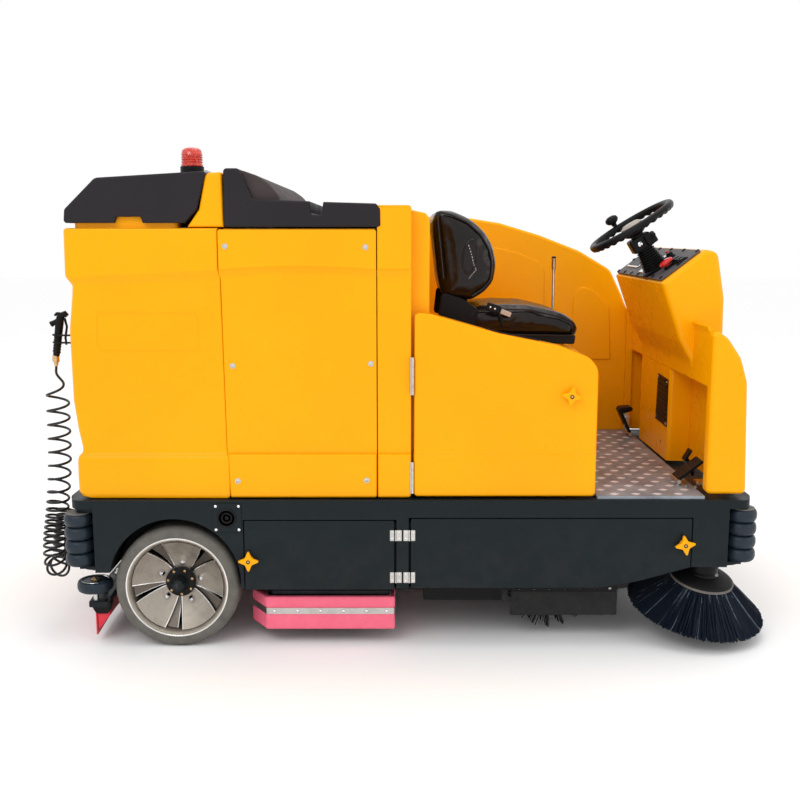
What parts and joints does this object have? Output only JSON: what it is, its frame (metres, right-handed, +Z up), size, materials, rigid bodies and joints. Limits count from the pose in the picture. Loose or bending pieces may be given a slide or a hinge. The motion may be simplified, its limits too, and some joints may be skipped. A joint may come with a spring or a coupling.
{
  "type": "ride-on floor scrubber",
  "caption": "Ride-on floor-cleaning machine: yellow tank body, side-entry driver's cab, scrub deck, squeegee, side brushes and steered front wheel.",
  "frame": {"origin": "on the floor under the middle of the machine", "axes": "+X the direction of travel, +Y the driver's left, +Z up"},
  "size_m": [2.6069, 1.4296, 1.7444],
  "materials": {
    "yellow_plastic": "glossy rotomoulded polyethylene",
    "lid_plastic": "fine textured charcoal",
    "chassis_paint": "satin dark slate",
    "black_plastic": "satin black",
    "roller_rubber": "satin",
    "tyre_rubber": "dusty grey-brown",
    "rim_alloy": "painted with machined edges",
    "tread_plate": "five-bar tread pattern",
    "console_grey": "fine textured",
    "seat_vinyl": "glossy black vinyl",
    "chrome": "polished",
    "signal_red": "glossy",
    "beacon_red": "clear red lens",
    "skirt_pink": "pink-red polyurethane",
    "squeegee_red": "red polyurethane",
    "bristle": "navy-black nylon bristle",
    "flap_rubber": "black flap rubber"
  },
  "bodies": {
    "chassis": {"chassis_frame": "chassis_paint", "chassis_side_right": "chassis_paint", "chassis_side_left": "chassis_paint", "recovery_tank": "yellow_plastic", "centre_tank": "yellow_plastic", "side_panel_right": "yellow_plastic", "cabin_wall_left": "yellow_plastic", "seat_base": "yellow_plastic", "battery_pack": "black_plastic", "floor_plate": "tread_plate", "front_cowl": "yellow_plastic", "console_panel": "console_grey", "steering_column": "black_plastic", "broom_flap_right": "flap_rubber", "dust_hopper": "black_plastic", "gun_holder": "black_plastic", "spray_gun": "black_plastic", "spray_hose": "roller_rubber"},
    "rear_lid": {"rear_lid": "lid_plastic", "beacon_lens": "beacon_red"},
    "lift_lever": {"lift_lever": "chrome"},
    "centre_lid": {"centre_lid": "lid_plastic"},
    "cabin_door": {"cabin_door": "yellow_plastic"},
    "cabin_door_knob": {"cabin_door_knob": "yellow_plastic"},
    "right_rear_service_door": {"right_rear_service_door": "chassis_paint"},
    "rear_door_knob": {"rear_door_knob": "yellow_plastic"},
    "right_front_service_door": {"right_front_service_door": "chassis_paint"},
    "front_door_knob": {"front_door_knob": "yellow_plastic"},
    "left_service_door": {"left_service_door": "chassis_paint"},
    "rear_right_wheel": {"rear_right_tyre": "tyre_rubber", "rear_right_rim": "rim_alloy"},
    "rear_left_wheel": {"rear_left_tyre": "tyre_rubber", "rear_left_rim": "rim_alloy"},
    "front_fork": {"front_fork": "chassis_paint"},
    "front_wheel": {"front_wheel": "tyre_rubber"},
    "steering_wheel": {"steering_wheel": "black_plastic"},
    "spinner_knob": {"spinner_knob": "black_plastic"},
    "drive_lever": {"drive_lever": "chrome"},
    "emergency_stop": {"emergency_stop": "signal_red"},
    "accelerator_pedal": {"accelerator_pedal": "black_plastic"},
    "brake_pedal": {"brake_pedal": "black_plastic"},
    "seat": {"seat_cushion": "seat_vinyl"},
    "seat_back": {"seat_back": "seat_vinyl"},
    "scrub_deck": {"scrub_deck": "chassis_paint", "scrub_skirt": "skirt_pink"},
    "scrub_brush_right": {"scrub_brush_right": "bristle"},
    "scrub_brush_left": {"scrub_brush_left": "bristle"},
    "main_broom": {"main_broom": "bristle"},
    "squeegee": {"squeegee_bar": "chassis_paint", "squeegee_blade": "squeegee_red"},
    "squeegee_wheel_right": {"squeegee_wheel_right": "roller_rubber"},
    "squeegee_wheel_left": {"squeegee_wheel_left": "roller_rubber"},
    "side_brush_arm_right": {"side_brush_arm_right": "black_plastic"},
    "side_brush_arm_left": {"side_brush_arm_left": "black_plastic"},
    "side_brush_right": {"side_brush_right": "bristle"},
    "side_brush_left": {"side_brush_left": "bristle"},
    "rear_right_bumper_roller": {"rear_right_bumper_roller": "roller_rubber"},
    "rear_left_bumper_roller": {"rear_left_bumper_roller": "roller_rubber"},
    "front_right_bumper_roller": {"front_right_bumper_roller": "roller_rubber"},
    "front_left_bumper_roller": {"front_left_bumper_roller": "roller_rubber"}
  },
  "joints": [
    {"name": "rear_lid_hinge", "type": "hinge", "parent": "chassis", "child": "rear_lid", "pos_m": [-0.67, 0, 1.622], "axis": [0, 1, 0], "range_deg": [0, 75]},
    {"name": "centre_lid_hinge", "type": "hinge", "parent": "chassis", "child": "centre_lid", "pos_m": [-0.094, 0, 1.516], "axis": [0, 1, 0], "range_deg": [0, 60]},
    {"name": "cabin_door_hinge", "type": "hinge", "parent": "chassis", "child": "cabin_door", "pos_m": [0.009, -0.622, 0.85], "axis": [0, 0, 1], "range_deg": [-100, 0]},
    {"name": "cabin_door_knob_turn", "type": "hinge", "parent": "cabin_door", "child": "cabin_door_knob", "pos_m": [0.54, -0.632, 0.882], "axis": [0, 1, 0], "range_deg": [0, 90]},
    {"name": "right_rear_door_hinge", "type": "hinge", "parent": "chassis", "child": "right_rear_service_door", "pos_m": [-0.048, -0.641, 0.333], "axis": [0, 0, 1], "range_deg": [0, 88]},
    {"name": "rear_door_knob_turn", "type": "hinge", "parent": "right_rear_service_door", "child": "rear_door_knob", "pos_m": [-0.55, -0.652, 0.317], "axis": [0, 1, 0], "range_deg": [0, 90]},
    {"name": "right_front_door_hinge", "type": "hinge", "parent": "chassis", "child": "right_front_service_door", "pos_m": [-0.002, -0.641, 0.34], "axis": [0, 0, 1], "range_deg": [-88, 0]},
    {"name": "front_door_knob_turn", "type": "hinge", "parent": "right_front_service_door", "child": "front_door_knob", "pos_m": [0.936, -0.652, 0.373], "axis": [0, 1, 0], "range_deg": [0, 90]},
    {"name": "left_door_hinge", "type": "hinge", "parent": "chassis", "child": "left_service_door", "pos_m": [-0.002, 0.641, 0.34], "axis": [0, 0, 1], "range_deg": [0, 88]},
    {"name": "rear_right_wheel_spin", "type": "hinge", "parent": "chassis", "child": "rear_right_wheel", "pos_m": [-0.802, -0.566, 0.215], "axis": [0, 1, 0], "continuous": true},
    {"name": "rear_left_wheel_spin", "type": "hinge", "parent": "chassis", "child": "rear_left_wheel", "pos_m": [-0.802, 0.566, 0.215], "axis": [0, 1, 0], "continuous": true},
    {"name": "front_steer", "type": "hinge", "parent": "chassis", "child": "front_fork", "pos_m": [0.86, 0, 0.45], "axis": [0, 0, 1], "range_deg": [-72, 72]},
    {"name": "front_wheel_spin", "type": "hinge", "parent": "front_fork", "child": "front_wheel", "pos_m": [0.86, 0, 0.2], "axis": [0, 1, 0], "continuous": true},
    {"name": "steering_wheel_turn", "type": "hinge", "parent": "chassis", "child": "steering_wheel", "pos_m": [0.838, -0.15, 1.431], "axis": [-0.5299, 0, 0.848], "range_deg": [-360, 360]},
    {"name": "spinner_knob_spin", "type": "hinge", "parent": "steering_wheel", "child": "spinner_knob", "pos_m": [0.79913, 0.00526, 1.44916], "axis": [-0.5299, 0, 0.848], "continuous": true},
    {"name": "drive_lever_shift", "type": "hinge", "parent": "chassis", "child": "drive_lever", "pos_m": [0.89312, -0.18, 1.39941], "axis": [-0.5299, 0, 0.848], "range_deg": [-12, 12]},
    {"name": "lift_lever_tilt", "type": "hinge", "parent": "chassis", "child": "lift_lever", "pos_m": [0.585, 0.13, 1.014], "axis": [0, 1, 0], "range_deg": [-20, 20]},
    {"name": "emergency_stop_press", "type": "slide", "parent": "chassis", "child": "emergency_stop", "axis": [-0.6046, 0, 0.7965], "range_m": [-0.006, 0], "stiffness_N_per_m": 2000, "springref_m": 0.003},
    {"name": "accelerator_press", "type": "hinge", "parent": "chassis", "child": "accelerator_pedal", "pos_m": [0.955, -0.43, 0.551], "axis": [0, 1, 0], "range_deg": [0, 12], "stiffness_Nm_per_rad": 8, "springref_deg": -14.32},
    {"name": "brake_press", "type": "hinge", "parent": "chassis", "child": "brake_pedal", "pos_m": [0.978, 0.43, 0.551], "axis": [0, 1, 0], "range_deg": [0, 14], "stiffness_Nm_per_rad": 8, "springref_deg": -14.32},
    {"name": "seat_slide", "type": "slide", "parent": "chassis", "child": "seat", "axis": [1, 0, 0], "range_m": [-0.01, 0.1]},
    {"name": "seat_back_fold", "type": "hinge", "parent": "seat", "child": "seat_back", "pos_m": [0.215, -0.15, 1.178], "axis": [0, 1, 0], "range_deg": [0, 25]},
    {"name": "rear_right_roller_spin", "type": "hinge", "parent": "chassis", "child": "rear_right_bumper_roller", "pos_m": [-1.14, -0.59, 0.38], "axis": [0, 0, 1], "continuous": true},
    {"name": "rear_left_roller_spin", "type": "hinge", "parent": "chassis", "child": "rear_left_bumper_roller", "pos_m": [-1.14, 0.59, 0.38], "axis": [0, 0, 1], "continuous": true},
    {"name": "front_right_roller_spin", "type": "hinge", "parent": "chassis", "child": "front_right_bumper_roller", "pos_m": [1.145, -0.59, 0.396], "axis": [0, 0, 1], "continuous": true},
    {"name": "front_left_roller_spin", "type": "hinge", "parent": "chassis", "child": "front_left_bumper_roller", "pos_m": [1.145, 0.59, 0.396], "axis": [0, 0, 1], "continuous": true},
    {"name": "scrub_deck_lift", "type": "slide", "parent": "chassis", "child": "scrub_deck", "axis": [0, 0, 1], "range_m": [-0.045, 0]},
    {"name": "scrub_brush_right_spin", "type": "hinge", "parent": "scrub_deck", "child": "scrub_brush_right", "pos_m": [-0.3045, -0.29, 0.12], "axis": [0, 0, 1], "continuous": true},
    {"name": "scrub_brush_left_spin", "type": "hinge", "parent": "scrub_deck", "child": "scrub_brush_left", "pos_m": [-0.3045, 0.29, 0.12], "axis": [0, 0, 1], "continuous": true},
    {"name": "main_broom_spin", "type": "hinge", "parent": "chassis", "child": "main_broom", "pos_m": [0.5, 0, 0.165], "axis": [0, 1, 0], "continuous": true},
    {"name": "squeegee_lift", "type": "slide", "parent": "chassis", "child": "squeegee", "axis": [0, 0, 1], "range_m": [-0.022, 0]},
    {"name": "squeegee_wheel_right_spin", "type": "hinge", "parent": "squeegee", "child": "squeegee_wheel_right", "pos_m": [-1.098, -0.578, 0.209], "axis": [0, 0, 1], "continuous": true},
    {"name": "side_brush_right_lift", "type": "slide", "parent": "chassis", "child": "side_brush_arm_right", "axis": [0, 0, 1], "range_m": [-0.03, 0]},
    {"name": "side_brush_right_spin", "type": "hinge", "parent": "side_brush_arm_right", "child": "side_brush_right", "pos_m": [1.03, -0.475, 0.092], "axis": [0.1219, -0.1894, 0.9743], "continuous": true},
    {"name": "squeegee_wheel_left_spin", "type": "hinge", "parent": "squeegee", "child": "squeegee_wheel_left", "pos_m": [-1.098, 0.578, 0.209], "axis": [0, 0, 1], "continuous": true},
    {"name": "side_brush_left_lift", "type": "slide", "parent": "chassis", "child": "side_brush_arm_left", "axis": [0, 0, 1], "range_m": [-0.03, 0]},
    {"name": "side_brush_left_spin", "type": "hinge", "parent": "side_brush_arm_left", "child": "side_brush_left", "pos_m": [1.03, 0.475, 0.092], "axis": [0.1219, 0.1894, 0.9743], "continuous": true}
  ],
  "couplings": [
    {"joint": "steering_wheel_turn", "follows": "front_steer", "ratio": 5}
  ]
}
